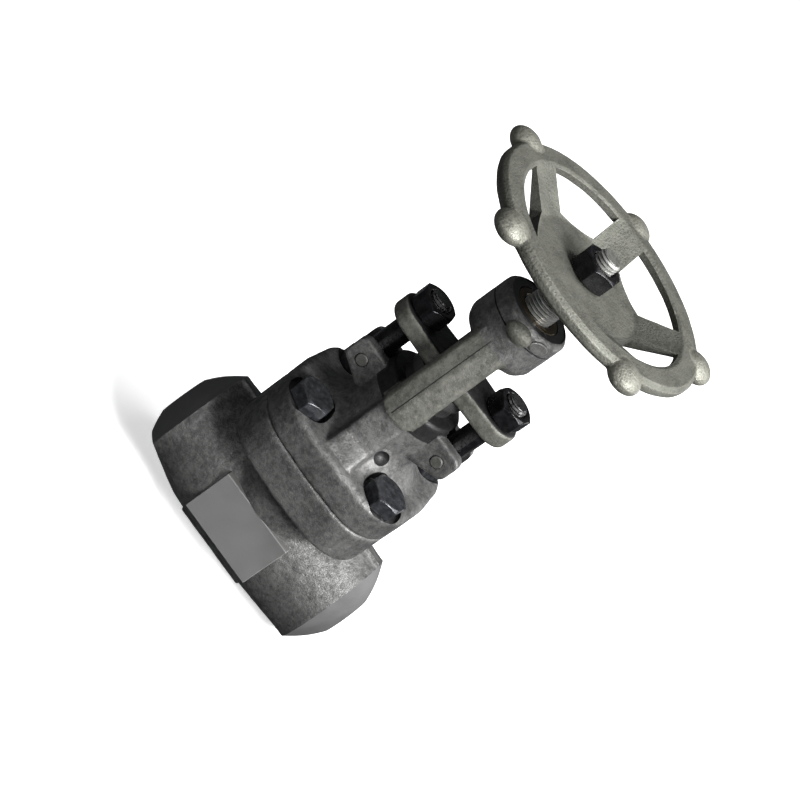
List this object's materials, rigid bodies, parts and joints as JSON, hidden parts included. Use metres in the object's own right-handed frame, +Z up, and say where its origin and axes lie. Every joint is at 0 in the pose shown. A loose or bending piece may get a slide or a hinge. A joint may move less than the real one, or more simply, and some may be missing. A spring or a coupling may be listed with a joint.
{
  "type": "globe valve",
  "caption": "Forged globe valve with weld ends, a bolted bonnet, a packed gland and an open yoke, in which the handwheel screws the stem to lift the disc off its seat.",
  "frame": {"origin": "centre of the flat under the body, where the valve rests; the pipe axis is 27.6 mm above it", "axes": "+Z up along the stem, X along the pipe with the inlet at -X and the outlet at +X, -Y the side seen in the picture"},
  "size_m": [0.1199, 0.1175, 0.2112],
  "materials": {
    "forged_steel": "dark phosphated forging with machined faces",
    "cast_wheel": "fine sand-cast, thin grey-olive coat",
    "black_fasteners": "black oxide, lightly oiled",
    "bright_steel": "turned stainless steel",
    "graphite": "pressed graphite",
    "bushing_bronze": "turned bronze"
  },
  "bodies": {
    "valve_body": {"body": "forged_steel", "seat_ring": "bright_steel", "bonnet_gasket": "graphite", "bonnet": "forged_steel", "bonnet_bolt_1": "black_fasteners", "bonnet_bolt_2": "black_fasteners", "bonnet_bolt_3": "black_fasteners", "bonnet_bolt_4": "black_fasteners", "backseat_bush": "bright_steel", "packing_ring_1": "graphite", "packing_ring_2": "graphite", "packing_ring_3": "graphite", "packing_ring_4": "graphite", "packing_ring_5": "graphite", "eyebolt_left": "black_fasteners", "eyebolt_right": "black_fasteners", "eyebolt_pin_left": "bright_steel", "eyebolt_pin_right": "bright_steel", "yoke_bushing": "bushing_bronze", "bushing_pin": "black_fasteners"},
    "disc_assembly": {"disc": "bright_steel", "disc_retainer": "bright_steel"},
    "stem_assembly": {"stem": "bright_steel", "handwheel": "cast_wheel", "handwheel_nut": "black_fasteners"},
    "gland": {"gland_flange": "forged_steel", "gland_follower": "bright_steel"},
    "left_gland_nut": {"gland_nut_left": "black_fasteners"},
    "right_gland_nut": {"gland_nut_right": "black_fasteners"}
  },
  "joints": [
    {"name": "disc_lift", "type": "slide", "parent": "valve_body", "child": "disc_assembly", "axis": [0, 0, 1], "range_m": [-0.01, 0]},
    {"name": "stem_turn", "type": "hinge", "parent": "disc_assembly", "child": "stem_assembly", "pos_m": [0, 0, 0.1276], "axis": [0, 0, 1], "range_deg": [-1200, 0]},
    {"name": "gland_lift", "type": "slide", "parent": "valve_body", "child": "gland", "axis": [0, 0, 1], "range_m": [0, 0.003]},
    {"name": "left_nut_turn", "type": "hinge", "parent": "gland", "child": "left_gland_nut", "pos_m": [-0.0243, 0, 0.1372], "axis": [0, 0, 1], "range_deg": [0, 720]},
    {"name": "right_nut_turn", "type": "hinge", "parent": "gland", "child": "right_gland_nut", "pos_m": [0.0243, 0, 0.1372], "axis": [0, 0, 1], "range_deg": [0, 720]}
  ],
  "couplings": [
    {"joint": "stem_turn", "follows": "disc_lift", "rad_per_m": 2094.4},
    {"joint": "left_nut_turn", "follows": "gland_lift", "rad_per_m": 4188.8},
    {"joint": "right_nut_turn", "follows": "gland_lift", "rad_per_m": 4188.8}
  ]
}
